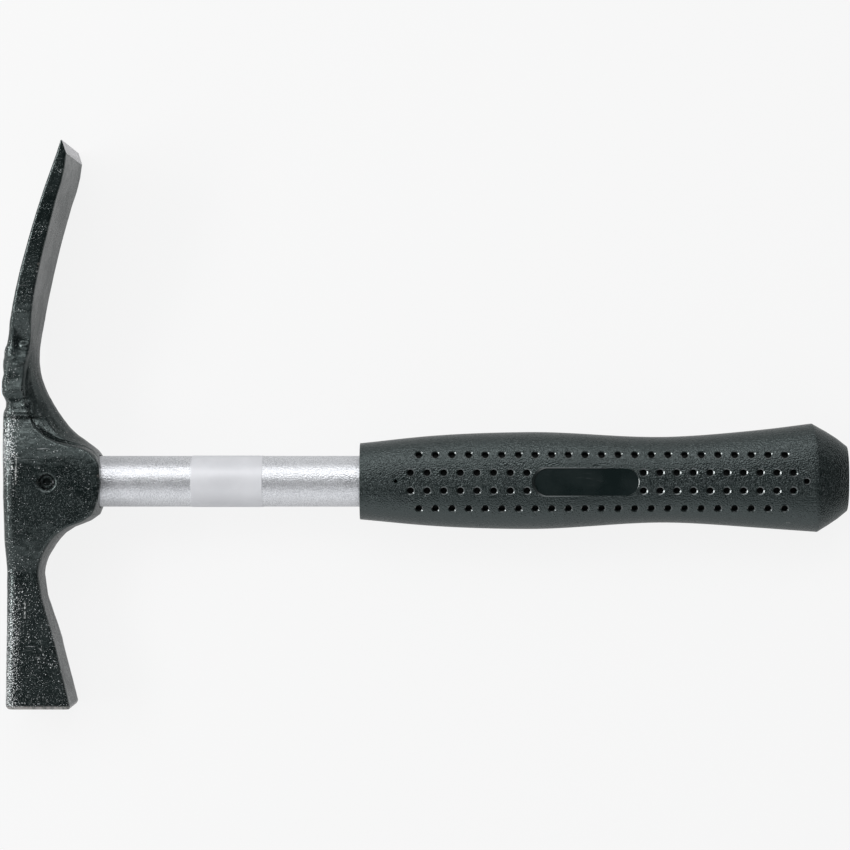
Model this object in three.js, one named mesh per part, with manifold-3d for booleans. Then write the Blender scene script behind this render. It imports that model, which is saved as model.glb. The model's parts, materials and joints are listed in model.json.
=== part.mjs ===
// A chisel-edged masonry and rock hammer: one forged head pinned to a steel tube handle with a moulded grip.
// Millimetres, +Z up. The hammer is modelled in its own frame and laid down on its side at the end.
// Own frame: X runs along the handle from the head's outer face, Y up to the cutting edge, Z across.

import * as THREE from 'three';
import { mergeVertices } from 'three/addons/utils/BufferGeometryUtils.js';
import Module from 'manifold-3d';

const wasm = await Module();
wasm.setup();

// ---------------------------------------------------------------- driving dimensions

const overall_length = 314.4; // head's outer face to the grip's end face
const seat_gap = 0.3; // clearance between a piece and the seat that holds it

// handle tube
const tube_diameter = 19.0;
const tube_wall = 1.5;
const tube_recess = 0.8; // tube end behind the head's outer face

// head: heights are measured from the tube's axis
const blade_reach = 125.5; // up to the cutting edge
const blade_sweep = 23.2; // how far the cutting edge leans towards the handle
const blade_edge_width = 44.4;
const blade_root_width = 39.0;
const blade_thickness = 5.8; // in the middle of the blade, along the handle
const blade_neck_thickness = 11.9;
const blade_neck_width = 24.8;
const bevel_height = 4.7; // ground bevel behind the cutting edge
const bevel_heel_thickness = 3.4;
const edge_land = 0.4; // flat left on the cutting edge
const poll_reach = 84.3; // down to the striking face
const poll_setback = 0.9; // poll's outer side behind the head's outer face
const poll_face_depth = 24.4; // striking face, along the handle
const poll_face_width = 24.4; // striking face, across the hammer
const poll_neck_thickness = 12.4;
const poll_neck_width = 18.8;
const poll_chamfer = 1.0;
const hub_length = 35.1; // outer face to the collar's end face
const hub_side_wall = 3.7; // steel beside the tube
const collar_wall = 2.7; // steel above and below the tube
const fillet_rise = 31.5; // saddle from the collar up to the blade's neck
const fillet_drop = 22.5; // saddle from the collar down to the poll's neck

// cross pin, a slotted spring pin through head, tube and plug
const pin_diameter = 4.8;
const pin_wall = 0.9;
const pin_slot = 0.8;
const pin_setback = 16.6; // pin's axis behind the head's outer face
const pin_recess = 1.0; // pin's ends below the head's side faces
const pin_mouth_chamfer = 0.7;

// plugs in the two ends of the tube
const eye_plug_length = 32.0;
const end_plug_length = 14.0;
const end_plug_flange = 2.0;
const end_plug_wall = 2.2;

// grip
const grip_start = 132.3;
const grip_end_wall = 9.0; // solid plastic behind the tube's end plug
const grip_front_wall = 4.5; // plastic above and below the tube at the front
const grip_front_side = 2.8; // plastic beside the tube, here and below
const grip_belly_height = 36.4;
const grip_belly_side = 3.8;
const grip_waist_height = 32.3;
const grip_waist_side = 3.1;
const grip_butt_height = 40.7;
const grip_butt_side = 3.8;
const grip_end_height = 24.6;
const grip_end_width = 15.6;
const grip_end_share = 0.54; // share of the end face's height that is above the tube's axis
const grip_end_chamfer = 12.0; // length of the tapered end
const grip_rim_lean = 1.9; // the taper starts this much earlier on top than below
const badge_length = 38.6; // recessed oval field on each side of the grip
const badge_height = 10.1;
const badge_depth = 0.8;
const badge_centre = 216.4;

// label around the tube
const label_start = 69.5;
const label_width = 26.5;
const label_thickness = 0.2;
const label_wrap = 200; // degrees of the tube that it covers

// ---------------------------------------------------------------- sizes that follow

const tube_radius = tube_diameter / 2;
const tube_inner_radius = tube_radius - tube_wall;
const seat_radius = tube_radius + seat_gap; // bores that hold the tube
const plug_radius = tube_inner_radius - seat_gap; // plugs that fit in the tube
const pin_radius = pin_diameter / 2;
const pin_hole_radius = pin_radius + seat_gap;
const collar_half = seat_radius + collar_wall;
const hub_half_width = seat_radius + hub_side_wall;
const blade_root = collar_half + fillet_rise;
const poll_root = -collar_half - fillet_drop;
const tube_end = overall_length - grip_end_wall - end_plug_flange - seat_gap * 2;
const tube_segments = 48;
const pin_segments = 24;
const overshoot = 5; // how far a cutter runs past what it cuts

// heights on the head: a share t of the way along each stretch
const blade_at = (t) => THREE.MathUtils.lerp(blade_root, blade_reach, t);
const saddle_at = (t) => collar_half + t * fillet_rise;
const under_at = (t) => -collar_half - t * fillet_drop;
const poll_at = (t) => THREE.MathUtils.lerp(poll_root, -poll_reach, t);

// ---------------------------------------------------------------- helpers

// A smooth curve through [station, value] pairs, as a function of the station.
function fair(pairs) {
  const stations = pairs.map((pair) => pair[0]);
  const values = pairs.map((pair) => pair[1]);
  const curve = new THREE.CubicInterpolant(stations, values, 1);
  return (station) => curve.evaluate(station)[0];
}

// Evenly spaced values from first to last, both included.
function steps(first, last, count) {
  return Array.from({ length: count + 1 }, (_, i) => THREE.MathUtils.lerp(first, last, i / count));
}

// One closed body skinned over rings of points. Every ring has as many points and turns
// anticlockwise as seen from the last ring.
function loft(rings) {
  const count = rings[0].length;
  const centre = (ring) => ring.reduce((sum, p) => sum.add(p), new THREE.Vector3()).divideScalar(count);
  const points = [...rings.flat(), centre(rings[0]), centre(rings.at(-1))];
  const first_centre = points.length - 2;
  const last_centre = points.length - 1;
  const last_ring = (rings.length - 1) * count;
  const index = [];
  for (let i = 0; i < count; i += 1) {
    const next = (i + 1) % count;
    for (let base = 0; base < last_ring; base += count) {
      index.push(base + i, base + next, base + count + next);
      index.push(base + i, base + count + next, base + count + i);
    }
    index.push(first_centre, next, i);
    index.push(last_centre, last_ring + i, last_ring + next);
  }
  const geometry = new THREE.BufferGeometry().setFromPoints(points);
  geometry.setIndex(index);
  return geometry;
}

function toSolid(geometry) {
  const bare = geometry.clone();
  bare.deleteAttribute('normal');
  bare.deleteAttribute('uv');
  const merged = mergeVertices(bare, 1e-4);
  return new wasm.Manifold(new wasm.Mesh({
    numProp: 3,
    vertProperties: new Float32Array(merged.attributes.position.array),
    triVerts: new Uint32Array(merged.index.array),
  }));
}

function toGeometry(solid) {
  const mesh = solid.getMesh();
  const geometry = new THREE.BufferGeometry();
  geometry.setAttribute('position', new THREE.BufferAttribute(mesh.vertProperties, 3));
  geometry.setIndex(new THREE.BufferAttribute(mesh.triVerts, 1));
  return geometry;
}

function cut(geometry, ...tools) {
  return toGeometry(tools.reduce((body, tool) => body.subtract(toSolid(tool)), toSolid(geometry)));
}

// A round bar along X from one station to another.
function barAlongX(radius, from, to) {
  const bar = new THREE.CylinderGeometry(radius, radius, to - from, tube_segments);
  return bar.rotateZ(-Math.PI / 2).translate((from + to) / 2, 0, 0);
}

// A body turned about the X axis; the profile lists [station, radius] pairs and closes on itself.
function turnedAboutX(profile) {
  const outline = [...profile, profile[0]].map(([station, radius]) => new THREE.Vector2(radius, station));
  return new THREE.LatheGeometry(outline, tube_segments).rotateZ(-Math.PI / 2);
}

function finish(color, roughness, metalness) {
  return new THREE.MeshStandardMaterial({ color, roughness, metalness });
}

// ---------------------------------------------------------------- head

// Outer side of the head, away from the handle.
const head_outer = fair([
  [poll_at(1), poll_setback],
  [poll_at(0), poll_setback],
  [-collar_half, 0.1],
  [0, 0],
  [saddle_at(0.75), 0],
  [blade_at(0.08), blade_sweep * 0.07],
  [blade_at(0.44), blade_sweep * 0.352],
  [blade_at(0.73), blade_sweep * 0.652],
  [blade_at(1), blade_sweep],
]);

// Side towards the handle, in the hammer's middle plane.
const head_inner = fair([
  [poll_at(1), poll_setback + poll_face_depth],
  [poll_at(0.5), poll_setback + (poll_face_depth + poll_neck_thickness) / 2],
  [poll_at(0), poll_setback + poll_neck_thickness],
  [under_at(0.62), hub_length * 0.46],
  [under_at(0.22), hub_length * 0.7],
  [under_at(0.06), hub_length - 2.1],
  [-collar_half + 2.5, hub_length],
  [collar_half - 3, hub_length],
  [collar_half, hub_length - 2.1],
  [saddle_at(0.19), hub_length * 0.72],
  [saddle_at(0.47), hub_length * 0.524],
  [saddle_at(0.85), blade_neck_thickness + 0.9],
  [blade_at(0.08), blade_neck_thickness - 0.3],
  [blade_at(0.23), head_outer(blade_at(0.23)) + blade_thickness + 2.1],
  [blade_at(0.44), head_outer(blade_at(0.44)) + blade_thickness + 0.8],
  [blade_at(0.73), head_outer(blade_at(0.73)) + blade_thickness],
  [blade_at(0.85), head_outer(blade_at(0.85)) + blade_thickness - 0.4],
  [blade_at(1), head_outer(blade_at(1)) + bevel_heel_thickness - 0.9],
]);

const head_half_width = fair([
  [poll_at(1), poll_face_width / 2],
  [poll_at(0.5), (poll_face_width + poll_neck_width) / 4],
  [poll_at(0), poll_neck_width / 2],
  [under_at(0.4), (poll_neck_width / 2 + hub_half_width) / 2 + 0.5],
  [-collar_half * 0.8, hub_half_width],
  [collar_half * 0.6, hub_half_width],
  [saddle_at(0.12), hub_half_width - 1.2],
  [saddle_at(0.36), hub_half_width - 2.2],
  [saddle_at(0.6), hub_half_width - 1.7],
  [saddle_at(0.95), blade_neck_width / 2],
  [blade_at(0.1), blade_neck_width / 2 + 1],
  [blade_at(0.22), blade_root_width / 2 - 2.2],
  [blade_at(0.36), blade_root_width / 2 - 0.1],
  [blade_at(0.56), blade_root_width / 2 + 0.2],
  [blade_at(1), blade_edge_width / 2],
]);

// How far the saddle's sides stand back from its middle.
const head_crown = fair([
  [poll_at(1), 0],
  [poll_at(0), 0.3],
  [under_at(0.3), 1.3],
  [-collar_half, 1.2],
  [-collar_half * 0.7, 0.4],
  [0, 0.2],
  [collar_half * 0.7, 0.4],
  [collar_half, 2.8],
  [saddle_at(0.09), 9.8],
  [saddle_at(0.3), 9.6],
  [saddle_at(0.6), 7.4],
  [saddle_at(0.9), 3.9],
  [blade_at(0.06), 1.4],
  [blade_at(0.2), 0.2],
  [blade_at(1), 0],
]);

// Rounding of the head's long edges, on its outer side and towards the handle.
const outer_edge_radius = fair([
  [poll_at(1), 3.0],
  [poll_at(0), 3.6],
  [0, 4.0],
  [blade_at(0), 3.0],
  [blade_at(0.3), 1.4],
  [blade_at(1), 1.0],
]);
const inner_edge_radius = fair([
  [poll_at(1), 1.0],
  [poll_at(0), 1.4],
  [under_at(0.3), 1.3],
  [-collar_half * 0.8, 1.0],
  [collar_half * 0.8, 1.0],
  [saddle_at(0.1), 0.8],
  [blade_at(0), 1.0],
  [blade_at(1), 0.9],
]);

// Arc points round a corner; turn is the direction of the first, in quarter turns.
function cornerPoints(x, z, radius, turn) {
  return steps(turn, turn + 1, 3).map((quarter) => {
    const angle = (quarter * Math.PI) / 2;
    return [x + radius * Math.cos(angle), z + radius * Math.sin(angle)];
  });
}

// One level of the head: a rounded rectangle whose handle side is crowned.
function headRing(y, inset = 0) {
  const outer = head_outer(y) + inset;
  const heel = blade_reach - bevel_height;
  const along_bevel = Math.max(0, (y - heel) / bevel_height);
  const heel_line = head_inner(Math.min(y, heel));
  const inner = THREE.MathUtils.lerp(heel_line, head_outer(y) + edge_land, along_bevel) - inset;
  const half = head_half_width(y) - inset;
  const crown = head_crown(y);
  const side = inner - crown;
  const outer_radius = Math.min(outer_edge_radius(y), (side - outer) * 0.45);
  const radius = Math.min(inner_edge_radius(y), (side - outer) * 0.45);
  const crowned = steps(-0.75, 0.75, 6).map((share) => {
    const z = share * (half - radius);
    return [inner - crown * share ** 2, z];
  });
  const ring = [
    ...cornerPoints(side - radius, -half + radius, radius, -1),
    ...crowned,
    ...cornerPoints(side - radius, half - radius, radius, 0),
    ...cornerPoints(outer + outer_radius, half - outer_radius, outer_radius, 1),
    ...cornerPoints(outer + outer_radius, -half + outer_radius, outer_radius, 2),
  ];
  return ring.reverse().map(([x, z]) => new THREE.Vector3(x, y, z));
}

function pinHole() {
  const length = (hub_half_width + overshoot) * 2;
  const hole = new THREE.CylinderGeometry(pin_hole_radius, pin_hole_radius, length, pin_segments);
  hole.rotateX(Math.PI / 2);
  const cone_height = pin_mouth_chamfer * 2; // half of it stands outside the head
  const mouth = pin_hole_radius + cone_height;
  const cone = new THREE.CylinderGeometry(mouth, pin_hole_radius, cone_height, pin_segments);
  cone.rotateX(Math.PI / 2).translate(0, 0, hub_half_width);
  const other_cone = cone.clone().rotateY(Math.PI);
  return [hole, cone, other_cone].map((tool) => tool.translate(pin_setback, 0, 0));
}

function hammerHead() {
  const levels = [
    ...steps(poll_at(1) + poll_chamfer, poll_at(0), 6),
    ...steps(under_at(0.9), under_at(0.1), 8),
    ...steps(-collar_half, -collar_half + 2.5, 2),
    ...steps(-collar_half * 0.5, collar_half * 0.5, 2),
    ...steps(collar_half - 3, collar_half, 3),
    ...steps(saddle_at(0.025), saddle_at(0.1), 3),
    ...steps(saddle_at(0.16), saddle_at(1), 9),
    ...steps(blade_at(0.06), blade_at(0.88), 12),
    blade_reach - bevel_height,
    blade_reach,
  ];
  const rings = [headRing(poll_at(1), poll_chamfer), ...levels.map((y) => headRing(y))];
  const eye = barAlongX(seat_radius, -overshoot, hub_length + overshoot);
  return cut(loft(rings), eye, ...pinHole());
}

// ---------------------------------------------------------------- tube, pin and plugs

function shaftTube() {
  const pipe = turnedAboutX([
    [tube_recess, tube_inner_radius],
    [tube_recess, tube_radius],
    [tube_end, tube_radius],
    [tube_end, tube_inner_radius],
  ]);
  return cut(pipe, pinHole()[0]);
}

function crossPin() {
  const length = (hub_half_width - pin_recess) * 2;
  const half_slot = pin_slot / 2;
  const outer_angle = Math.asin(half_slot / pin_radius);
  const inner_radius = pin_radius - pin_wall;
  const inner_angle = Math.asin(half_slot / inner_radius);
  const section = new THREE.Shape();
  section.absarc(0, 0, pin_radius, outer_angle, Math.PI * 2 - outer_angle, false);
  section.absarc(0, 0, inner_radius, Math.PI * 2 - inner_angle, inner_angle, true);
  section.closePath();
  const pin = new THREE.ExtrudeGeometry(section, { depth: length, bevelEnabled: false, curveSegments: 20 });
  return pin.translate(pin_setback, 0, -length / 2);
}

function eyePlug() {
  const start = tube_recess + seat_gap;
  const plug = barAlongX(plug_radius, start, start + eye_plug_length);
  return cut(plug, pinHole()[0]);
}

// A cap driven into the tube's end, so that its edge can't cut through the grip.
function tubeEndPlug() {
  const core = plug_radius - end_plug_wall;
  const flange_start = tube_end + seat_gap;
  return turnedAboutX([
    [tube_end - end_plug_length, plug_radius],
    [flange_start, plug_radius],
    [flange_start, tube_radius],
    [flange_start + end_plug_flange, tube_radius],
    [flange_start + end_plug_flange, 0],
    [flange_start, 0],
    [flange_start, core],
    [tube_end - end_plug_length, core],
  ]);
}

// ---------------------------------------------------------------- grip and label

const grip_rim = overall_length - grip_end_chamfer;
const grip_at = (t) => THREE.MathUtils.lerp(grip_start, grip_rim, t);

// The grip's section is an oval, higher above the tube's axis than below it.
const grip_top = fair([
  [grip_at(0), seat_radius + grip_front_wall],
  [grip_at(0.165), grip_belly_height * 0.472],
  [grip_at(0.37), grip_belly_height * 0.508],
  [grip_at(0.69), grip_waist_height * 0.519],
  [grip_at(0.87), (grip_waist_height + grip_butt_height) * 0.262],
  [grip_at(1), grip_butt_height * 0.533],
]);
const grip_bottom = fair([
  [grip_at(0), seat_radius + grip_front_wall],
  [grip_at(0.165), grip_belly_height * 0.462],
  [grip_at(0.37), grip_belly_height * 0.492],
  [grip_at(0.69), grip_waist_height * 0.481],
  [grip_at(0.87), (grip_waist_height + grip_butt_height) * 0.238],
  [grip_at(1), grip_butt_height * 0.467],
]);
const grip_half_width = fair([
  [grip_at(0), seat_radius + grip_front_side],
  [grip_at(0.37), seat_radius + grip_belly_side],
  [grip_at(0.69), seat_radius + grip_waist_side],
  [grip_at(1), seat_radius + grip_butt_side],
]);

// A superellipse ring: top, bottom and half are its reaches from the tube's axis.
function gripRing(x, top, bottom, half, lean) {
  const squareness = 2.35;
  const count = 40;
  const middle = (top - bottom) / 2;
  const height = (top + bottom) / 2;
  return Array.from({ length: count }, (_, i) => {
    const angle = (i / count) * Math.PI * 2;
    const power = 2 / squareness;
    const up = Math.sign(Math.sin(angle)) * Math.abs(Math.sin(angle)) ** power;
    const across = Math.sign(Math.cos(angle)) * Math.abs(Math.cos(angle)) ** power;
    return new THREE.Vector3(x - (lean * up) / 2, middle + height * up, half * across);
  }).reverse();
}

function badgePocket(side) {
  const half_straight = (badge_length - badge_height) / 2;
  const radius = badge_height / 2;
  const outline = new THREE.Shape();
  outline.absarc(half_straight, 0, radius, -Math.PI / 2, Math.PI / 2, false);
  outline.absarc(-half_straight, 0, radius, Math.PI / 2, Math.PI * 1.5, false);
  const floor = grip_half_width(badge_centre) - badge_depth;
  const pocket = new THREE.ExtrudeGeometry(outline, { depth: overshoot, bevelEnabled: false, curveSegments: 8 });
  return pocket.translate(badge_centre, 0, floor).rotateX(side > 0 ? 0 : Math.PI);
}

function gripSleeve() {
  const ringAt = (x, lean) => gripRing(x, grip_top(x), grip_bottom(x), grip_half_width(x), lean);
  const end_top = grip_end_height * grip_end_share;
  const rings = [
    ...steps(0, 0.96, 24).map((t) => ringAt(grip_at(t), 0)),
    ringAt(grip_rim, grip_rim_lean),
    gripRing(overall_length, end_top, grip_end_height - end_top, grip_end_width / 2, 0),
  ];
  const bore = barAlongX(seat_radius, grip_start - overshoot, overall_length - grip_end_wall);
  return cut(loft(rings), bore, badgePocket(1), badgePocket(-1));
}

// A thin strip wrapped round the tube, its middle facing +Z.
function handleLabel() {
  const half_wrap = THREE.MathUtils.degToRad(label_wrap / 2);
  const band = new THREE.Shape();
  band.absarc(0, 0, seat_radius + label_thickness, -half_wrap, half_wrap, false);
  band.absarc(0, 0, seat_radius, half_wrap, -half_wrap, true);
  band.closePath();
  const strip = new THREE.ExtrudeGeometry(band, { depth: label_width, bevelEnabled: false, curveSegments: 28 });
  return strip.rotateY(Math.PI / 2).rotateX(Math.PI).translate(label_start, 0, 0);
}

// ---------------------------------------------------------------- assembly

const steel_black = finish(0x17191a, 0.45, 0.4);
const steel_bright = finish(0xc9cbd0, 0.35, 0.9);
const soft_black = finish(0x26292a, 0.6, 0.0);

const hammer = new THREE.Group();

function add(name, geometry, material) {
  const mesh = new THREE.Mesh(geometry, material.clone());
  mesh.name = name;
  hammer.add(mesh);
  return mesh;
}

const head = add('hammer_head', hammerHead(), steel_black);
add('shaft_tube', shaftTube(), steel_bright);
add('cross_pin', crossPin(), steel_black);
add('eye_plug', eyePlug(), steel_black);
add('tube_end_plug', tubeEndPlug(), finish(0x1c1c1c, 0.5, 0.0));
const grip = add('grip_sleeve', gripSleeve(), soft_black);
add('handle_label', handleLabel(), finish(0xd9dade, 0.5, 0.0));

// The three places it lies on: the blade's corner, the poll's edge and the grip's butt.
function pointsOf(mesh) {
  const positions = mesh.geometry.attributes.position;
  return Array.from({ length: positions.count }, (_, i) => new THREE.Vector3().fromBufferAttribute(positions, i));
}

function lowest(points, up) {
  return points.reduce((low, point) => (point.dot(up) < low.dot(up) ? point : low));
}

function restingNormal(supports) {
  let up = new THREE.Vector3(0, 0, 1);
  for (let round = 0; round < 8; round += 1) {
    const [blade, poll, butt] = supports.map((points) => lowest(points, up));
    const plane = new THREE.Plane().setFromCoplanarPoints(poll, butt, blade);
    up = plane.normal.clone().multiplyScalar(Math.sign(plane.normal.z));
  }
  return up;
}

const head_points = pointsOf(head);
const supports = [
  head_points.filter((point) => point.y > 0),
  head_points.filter((point) => point.y < 0),
  pointsOf(grip),
];
hammer.quaternion.setFromUnitVectors(restingNormal(supports), new THREE.Vector3(0, 0, 1));

// The origin is the middle of the hammer's footprint, on the surface it lies on.
const bounds = new THREE.Box3().setFromObject(hammer, true);
const middle = bounds.getCenter(new THREE.Vector3());
hammer.position.set(-middle.x, -middle.y, -bounds.min.z);

const assembly = new THREE.Group();
assembly.add(hammer);

export default assembly;
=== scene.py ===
import json
import math

import bpy
import numpy as np
from mathutils import Matrix, Vector

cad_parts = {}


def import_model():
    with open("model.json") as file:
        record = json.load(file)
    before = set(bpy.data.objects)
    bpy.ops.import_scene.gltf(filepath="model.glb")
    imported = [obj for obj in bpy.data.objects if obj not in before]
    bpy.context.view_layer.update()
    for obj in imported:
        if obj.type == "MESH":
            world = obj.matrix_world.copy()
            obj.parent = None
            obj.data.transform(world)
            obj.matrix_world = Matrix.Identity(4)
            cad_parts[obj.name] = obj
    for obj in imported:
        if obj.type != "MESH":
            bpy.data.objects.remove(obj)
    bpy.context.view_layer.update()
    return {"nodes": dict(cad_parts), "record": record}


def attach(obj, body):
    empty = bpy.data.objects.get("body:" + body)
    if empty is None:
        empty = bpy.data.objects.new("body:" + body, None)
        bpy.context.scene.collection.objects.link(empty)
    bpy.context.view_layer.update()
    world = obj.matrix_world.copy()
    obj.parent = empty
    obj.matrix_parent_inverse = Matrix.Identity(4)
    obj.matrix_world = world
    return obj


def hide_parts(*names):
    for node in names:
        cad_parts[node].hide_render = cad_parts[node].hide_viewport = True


# A chisel-edged rock hammer: lacquered forged head, zinc-plated tube, soft black grip, blank film label.
# Every piece is modelled in the hammer's own frame and then laid down as the hammer lies:
# X runs along the handle from the head's outer face, Y up to the cutting edge, Z across.

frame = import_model()

MM = 0.001

# ---------------------------------------------------------------- sizes, in millimetres

LENGTH = 314.4

TUBE_RADIUS = 9.5
TUBE_WALL = 1.5
TUBE_START = 0.8
TUBE_END = 302.8
BORE_RADIUS = 9.8

PIN_STATION = 16.6
PIN_RADIUS = 2.4
PIN_WALL = 0.9
PIN_SLOT = 0.8
PIN_HALF_LENGTH = 11.9
PIN_CHOKE = 2.2  # the lacquer that fills its bore stands this far below its ends
PIN_HOLE_RADIUS = 2.7

PLUG_RADIUS = 7.7
PLUG_START = 1.1
PLUG_LENGTH = 32.0

HUB_HALF_WIDTH = 13.5

# Grip: (share of the way from its front to its rim, reach)
GRIP_FRONT = 132.3
GRIP_RIM = 302.4
GRIP_BORE_END = 305.4
GRIP_TOP = ((0, 14.3), (0.165, 17.18), (0.37, 18.49), (0.69, 16.76), (0.87, 19.13), (1, 21.69))
GRIP_BOTTOM = ((0, 14.3), (0.165, 16.82), (0.37, 17.91), (0.69, 15.54), (0.87, 17.37), (1, 19.01))
GRIP_SIDE = ((0, 12.6), (0.37, 13.6), (0.69, 12.9), (1, 13.6))
GRIP_SQUARENESS = 2.35
GRIP_RIM_LEAN = 2.7  # degrees
GRIP_END = (13.3, 11.3, 7.8)  # reaches of the end face: up, down and to the side

OVAL_STATION = 216.4
OVAL_LENGTH = 38.6
OVAL_HEIGHT = 10.1
OVAL_DEPTH = 0.8
OVAL_MOUTH = ((0.32, 1.01), (0.96, 1.3))  # (rise, widening) of its wall and of the chamfer above it

DIMPLE_PITCH = 6.16
DIMPLE_FIRST = 154.3
DIMPLE_COUNT = 23
DIMPLE_ROWS = (10.1, 3.5, -3.2, -9.9)
# outline of a dimple: (radius, height over the skin)
DIMPLE_OUTLINE = ((0.94, -2.0), (1.14, -1.8), (1.19, -0.45), (1.23, -0.31), (1.68, 0.01), (1.95, 0.19))
# Where a dimple's lip and its wall start, as levels under the skin, which is at 1; the wall is painted darker
# as shade
DIMPLE_LIP = 0.994
DIMPLE_WALL = 0.957
# Small marks past the ends of the rows: (station, height, size beside a dimple's)
END_MARKS = ((145.7, 0.3, 0.45), (297.8, 0.3, 0.85))
# Shares of the way to the rim: where the dimples' lips and walls start and end, and past which only the
# middle line has them. The last dimple of each inner row reaches past that, so part of its wall is rubber.
DIMPLED_FROM = 0.04
DIMPLED_TO = 0.99
ROWS_END = 0.945
MIDDLE_LINE_REACH = 3.0  # how far from the middle line still counts as on it
SIDE_REACH = 8.0  # the grip's side faces are farther than this from its middle plane

LABEL_START = 69.5
LABEL_WIDTH = 26.5
LABEL_THICKNESS = 0.13
LABEL_WRAP = 200


# ---------------------------------------------------------------- the hammer's own frame

def hammer_pose():
    """The matrix that lays the hammer down, from the two faces that the record names."""
    faces = {mount["name"]: mount for mount in frame["record"]["mounts"]}
    butt = faces["butt_face"]
    along = Vector(butt["axis"]).normalized()
    upward = -Vector(faces["poll_face"]["axis"])
    upward = (upward - along * upward.dot(along)).normalized()
    turn = Matrix((along, upward, along.cross(upward))).transposed().to_4x4()
    return Matrix.Translation(Vector(butt["pos_m"]) - along * LENGTH * MM) @ turn


POSE = hammer_pose()


# ---------------------------------------------------------------- modelling helpers

def only(piece):
    """Makes piece the one selected object."""
    bpy.ops.object.select_all(action="DESELECT")
    piece.select_set(True)
    bpy.context.view_layer.objects.active = piece


def edit(piece):
    """Opens the piece's mesh, all of it selected."""
    only(piece)
    bpy.ops.object.mode_set(mode="EDIT")
    bpy.ops.mesh.select_all(action="SELECT")


def leave_edit():
    bpy.ops.object.mode_set(mode="OBJECT")


def apply_modifier(piece, kind, **settings):
    only(piece)
    modifier = piece.modifiers.new(kind.lower(), kind)
    for name, value in settings.items():
        setattr(modifier, name, value)
    bpy.ops.object.modifier_apply(modifier=modifier.name)


def tidy_shell(piece):
    """Joins doubled points and turns every face outwards."""
    edit(piece)
    bpy.ops.mesh.remove_doubles(threshold=0.001 * MM)
    bpy.ops.mesh.normals_make_consistent(inside=False)
    leave_edit()


def points(piece):
    """The piece's points as an array, in millimetres."""
    flat = np.empty(len(piece.data.vertices) * 3)
    piece.data.vertices.foreach_get("co", flat)
    return flat.reshape(-1, 3) / MM


def set_points(piece, places):
    piece.data.vertices.foreach_set("co", (places * MM).ravel())
    piece.data.update()


def smooth(piece, degrees=35):
    only(piece)
    bpy.ops.object.shade_smooth_by_angle(angle=math.radians(degrees))


def finish_piece(piece, material_slot, node, *materials):
    """Lays a piece down in its place, gives it its materials and has it stand for its node."""
    only(piece)
    piece.data.transform(POSE)
    piece.data.update()
    piece.data.materials.clear()
    for material in materials:
        piece.data.materials.append(material)
    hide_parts(node)
    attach(piece, "root")


def smooth_curve(pairs):
    """A smooth curve through (station, value) pairs, as a function of the station."""
    stations, values = (np.array(column, float) for column in zip(*pairs))
    slopes = np.gradient(values, stations)

    def value_at(station):
        i = min(max(np.searchsorted(stations, station) - 1, 0), len(stations) - 2)
        span = stations[i + 1] - stations[i]
        t = (station - stations[i]) / span
        rise = values[i] * (1 + 2 * t) * (1 - t) ** 2 + values[i + 1] * t * t * (3 - 2 * t)
        return rise + span * (slopes[i] * t * (1 - t) ** 2 - slopes[i + 1] * t * t * (1 - t))

    return value_at


def turned(name, outline, steps=96, degrees=360):
    """A piece turned about the handle's axis from a closed outline of (station, radius) points.
    Short of a full turn, its middle faces +Z."""
    bpy.ops.mesh.primitive_circle_add(vertices=len(outline))
    piece = bpy.context.object
    piece.name = name
    start = math.radians(degrees / 2)
    for vertex, (station, radius) in zip(piece.data.vertices, outline):
        vertex.co = Vector((station, -radius * math.sin(start), radius * math.cos(start))) * MM
    edit(piece)
    if degrees < 360:
        bpy.ops.mesh.edge_face_add()
    bpy.ops.mesh.spin(steps=steps, angle=math.radians(degrees), center=(0, 0, 0), axis=(1, 0, 0))
    leave_edit()
    tidy_shell(piece)
    return piece


# ---------------------------------------------------------------- forged head

def press(places, centre, reach, move):
    """Moves the points near centre by move, fading out to nothing at reach."""
    away = (((places - centre) / reach) ** 2).sum(axis=1)
    places += np.outer(np.clip(1 - away, 0, 1) ** 2, move)


# What the dies left on the sides of the blade's root: (station, height, reach along, reach up, rise)
FORGING_LUMPS = (
    (7.6, 62.4, 5.0, 1.4, 0.6),
    (8.2, 53.2, 4.6, 7.6, -1.9),
    (4.4, 54.0, 1.5, 7.0, 0.5),
    (11.6, 53.5, 1.2, 6.5, 0.35),
    (8.2, 50.5, 2.4, 2.2, 1.7),
    (8.0, 46.0, 4.0, 1.2, 0.5),
    (3.2, 45.4, 2.4, 1.3, 0.9),
    (6.4, 43.6, 2.6, 1.2, 1.2),
    (5.0, 39.2, 5.4, 4.4, -1.0),
    (4.6, 34.1, 6.0, 1.4, 0.8),
    (6.0, 30.4, 6.5, 3.4, -0.9),
    (8.6, 29.1, 2.0, 1.5, 0.9),
    (6.0, 25.6, 7.5, 1.5, 0.7),
)

# Dents and bulges of the outer face at the blade's root: (height, reach up, move along the handle)
OUTER_BULGES = (
    (57.0, 6.0, 0.5), (49.0, 2.8, -0.7), (44.5, 5.0, -0.7), (36.0, 4.6, -0.8), (34.0, 2.6, -0.4),
    (29.2, 3.4, 1.2), (26.8, 2.4, 0.4),
)

# What the blank has to spare behind its edge, at its tip and at its poll
SPARE_THICKNESS = (4.0, 0, 0)
SPARE_TIP = (0.3, 1.2, 0)
SPARE_POLL = (0, -0.5, 0)

# The hub's side faces fall away towards the blade: from this height, by this much at the blade's root
HUB_FALL_FROM = 5.0
HUB_FALL_TO = 24.2
HUB_FALL = 1.6
HUB_SIDE_BAND = 5.0  # how far in from its side faces the hub's skin moves with them

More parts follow.
